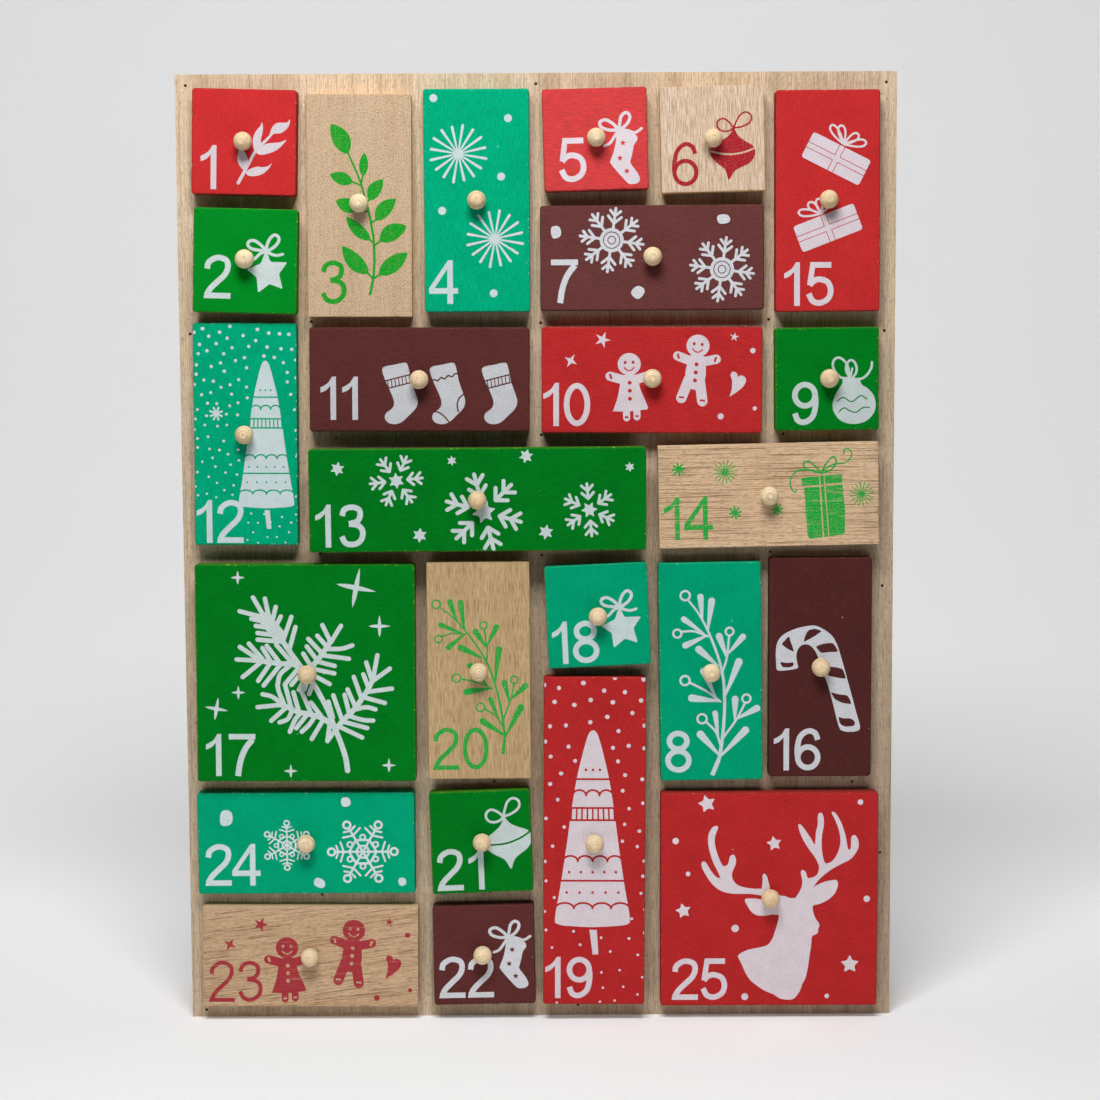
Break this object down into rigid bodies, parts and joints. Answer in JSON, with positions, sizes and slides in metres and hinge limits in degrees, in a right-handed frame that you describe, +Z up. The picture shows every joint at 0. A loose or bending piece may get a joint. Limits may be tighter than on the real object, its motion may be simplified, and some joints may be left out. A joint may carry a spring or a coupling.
{
  "type": "wooden advent calendar",
  "caption": "Free-standing wooden box with a pierced plywood front and small overlay drawers of several sizes, each with a turned knob, numbered for the days of Advent.",
  "frame": {"origin": "centre of the base, on the surface it stands on", "axes": "+X to the viewer's right seen from the front, +Y from the drawer fronts to the back, +Z up"},
  "size_m": [0.3, 0.0839, 0.4],
  "materials": {
    "panel_plywood": "raw open-grained plywood, grain upright, matt",
    "back_plywood": "raw thin plywood, matt",
    "board_wood": "raw sawn and planed board, matt",
    "front_bare_wood": "raw sanded wood, visible grain, matt",
    "paint_red": "thin matt paint over wood",
    "paint_green": "thin matt paint over wood",
    "paint_turquoise": "thin matt paint over wood",
    "paint_brown": "thin matt paint over wood",
    "tray_and_knob_wood": "raw pale wood, sanded",
    "brad_steel": "dark wire",
    "print_white": "screen-printed matt ink",
    "print_green": "screen-printed matt ink",
    "print_red": "screen-printed matt ink"
  },
  "bodies": {
    "case": {"front_panel": "panel_plywood", "back_panel": "back_plywood", "left_side": "board_wood", "right_side": "board_wood", "top_board": "board_wood", "bottom_board": "board_wood", "shelves": "board_wood", "uprights": "board_wood", "front_brads": "brad_steel", "back_brads": "brad_steel"},
    "drawer_01": {"drawer_01_front": "paint_red", "drawer_01_tray_and_knob": "tray_and_knob_wood"},
    "drawer_02": {"drawer_02_front": "paint_green", "drawer_02_tray_and_knob": "tray_and_knob_wood"},
    "drawer_03": {"drawer_03_front": "front_bare_wood", "drawer_03_tray_and_knob": "tray_and_knob_wood"},
    "drawer_04": {"drawer_04_front": "paint_turquoise", "drawer_04_tray_and_knob": "tray_and_knob_wood"},
    "drawer_05": {"drawer_05_front": "paint_red", "drawer_05_tray_and_knob": "tray_and_knob_wood"},
    "drawer_06": {"drawer_06_front": "front_bare_wood", "drawer_06_tray_and_knob": "tray_and_knob_wood"},
    "drawer_07": {"drawer_07_front": "paint_brown", "drawer_07_tray_and_knob": "tray_and_knob_wood"},
    "drawer_08": {"drawer_08_front": "paint_turquoise", "drawer_08_tray_and_knob": "tray_and_knob_wood"},
    "drawer_09": {"drawer_09_front": "paint_green", "drawer_09_tray_and_knob": "tray_and_knob_wood"},
    "drawer_10": {"drawer_10_front": "paint_red", "drawer_10_tray_and_knob": "tray_and_knob_wood"},
    "drawer_11": {"drawer_11_front": "paint_brown", "drawer_11_tray_and_knob": "tray_and_knob_wood"},
    "drawer_12": {"drawer_12_front": "paint_turquoise", "drawer_12_tray_and_knob": "tray_and_knob_wood"},
    "drawer_13": {"drawer_13_front": "paint_green", "drawer_13_tray_and_knob": "tray_and_knob_wood"},
    "drawer_14": {"drawer_14_front": "front_bare_wood", "drawer_14_tray_and_knob": "tray_and_knob_wood"},
    "drawer_15": {"drawer_15_front": "paint_red", "drawer_15_tray_and_knob": "tray_and_knob_wood"},
    "drawer_16": {"drawer_16_front": "paint_brown", "drawer_16_tray_and_knob": "tray_and_knob_wood"},
    "drawer_17": {"drawer_17_front": "paint_green", "drawer_17_tray_and_knob": "tray_and_knob_wood"},
    "drawer_18": {"drawer_18_front": "paint_turquoise", "drawer_18_tray_and_knob": "tray_and_knob_wood"},
    "drawer_19": {"drawer_19_front": "paint_red", "drawer_19_tray_and_knob": "tray_and_knob_wood"},
    "drawer_20": {"drawer_20_front": "front_bare_wood", "drawer_20_tray_and_knob": "tray_and_knob_wood"},
    "drawer_21": {"drawer_21_front": "paint_green", "drawer_21_tray_and_knob": "tray_and_knob_wood"},
    "drawer_22": {"drawer_22_front": "paint_brown", "drawer_22_tray_and_knob": "tray_and_knob_wood"},
    "drawer_23": {"drawer_23_front": "front_bare_wood", "drawer_23_tray_and_knob": "tray_and_knob_wood"},
    "drawer_24": {"drawer_24_front": "paint_turquoise", "drawer_24_tray_and_knob": "tray_and_knob_wood"},
    "drawer_25": {"drawer_25_front": "paint_red", "drawer_25_tray_and_knob": "tray_and_knob_wood"}
  },
  "joints": [
    {"name": "drawer_01_slide", "type": "slide", "parent": "case", "child": "drawer_01", "axis": [0, -1, 0], "range_m": [-0.0006, 0.0414]},
    {"name": "drawer_02_slide", "type": "slide", "parent": "case", "child": "drawer_02", "axis": [0, -1, 0], "range_m": [-0.004, 0.038]},
    {"name": "drawer_03_slide", "type": "slide", "parent": "case", "child": "drawer_03", "axis": [0, -1, 0], "range_m": [0, 0.042]},
    {"name": "drawer_04_slide", "type": "slide", "parent": "case", "child": "drawer_04", "axis": [0, -1, 0], "range_m": [-0.0005, 0.0415]},
    {"name": "drawer_05_slide", "type": "slide", "parent": "case", "child": "drawer_05", "axis": [0, -1, 0], "range_m": [-0.001, 0.041]},
    {"name": "drawer_06_slide", "type": "slide", "parent": "case", "child": "drawer_06", "axis": [0, -1, 0], "range_m": [-0.002, 0.04]},
    {"name": "drawer_07_slide", "type": "slide", "parent": "case", "child": "drawer_07", "axis": [0, -1, 0], "range_m": [-0.0004, 0.0416]},
    {"name": "drawer_08_slide", "type": "slide", "parent": "case", "child": "drawer_08", "axis": [0, -1, 0], "range_m": [-0.0006, 0.0414]},
    {"name": "drawer_09_slide", "type": "slide", "parent": "case", "child": "drawer_09", "axis": [0, -1, 0], "range_m": [0, 0.042]},
    {"name": "drawer_10_slide", "type": "slide", "parent": "case", "child": "drawer_10", "axis": [0, -1, 0], "range_m": [-0.0008, 0.0412]},
    {"name": "drawer_11_slide", "type": "slide", "parent": "case", "child": "drawer_11", "axis": [0, -1, 0], "range_m": [-0.0005, 0.0415]},
    {"name": "drawer_12_slide", "type": "slide", "parent": "case", "child": "drawer_12", "axis": [0, -1, 0], "range_m": [0, 0.042]},
    {"name": "drawer_13_slide", "type": "slide", "parent": "case", "child": "drawer_13", "axis": [0, -1, 0], "range_m": [-0.0085, 0.0335]},
    {"name": "drawer_14_slide", "type": "slide", "parent": "case", "child": "drawer_14", "axis": [0, -1, 0], "range_m": [-0.0038, 0.0382]},
    {"name": "drawer_15_slide", "type": "slide", "parent": "case", "child": "drawer_15", "axis": [0, -1, 0], "range_m": [-0.0006, 0.0414]},
    {"name": "drawer_16_slide", "type": "slide", "parent": "case", "child": "drawer_16", "axis": [0, -1, 0], "range_m": [0, 0.042]},
    {"name": "drawer_17_slide", "type": "slide", "parent": "case", "child": "drawer_17", "axis": [0, -1, 0], "range_m": [-0.0045, 0.0375]},
    {"name": "drawer_18_slide", "type": "slide", "parent": "case", "child": "drawer_18", "axis": [0, -1, 0], "range_m": [-0.005, 0.037]},
    {"name": "drawer_19_slide", "type": "slide", "parent": "case", "child": "drawer_19", "axis": [0, -1, 0], "range_m": [-0.003, 0.039]},
    {"name": "drawer_20_slide", "type": "slide", "parent": "case", "child": "drawer_20", "axis": [0, -1, 0], "range_m": [-0.005, 0.037]},
    {"name": "drawer_21_slide", "type": "slide", "parent": "case", "child": "drawer_21", "axis": [0, -1, 0], "range_m": [-0.004, 0.038]},
    {"name": "drawer_22_slide", "type": "slide", "parent": "case", "child": "drawer_22", "axis": [0, -1, 0], "range_m": [-0.001, 0.041]},
    {"name": "drawer_23_slide", "type": "slide", "parent": "case", "child": "drawer_23", "axis": [0, -1, 0], "range_m": [-0.0003, 0.0417]},
    {"name": "drawer_24_slide", "type": "slide", "parent": "case", "child": "drawer_24", "axis": [0, -1, 0], "range_m": [0, 0.042]},
    {"name": "drawer_25_slide", "type": "slide", "parent": "case", "child": "drawer_25", "axis": [0, -1, 0], "range_m": [-0.0008, 0.0412]}
  ]
}
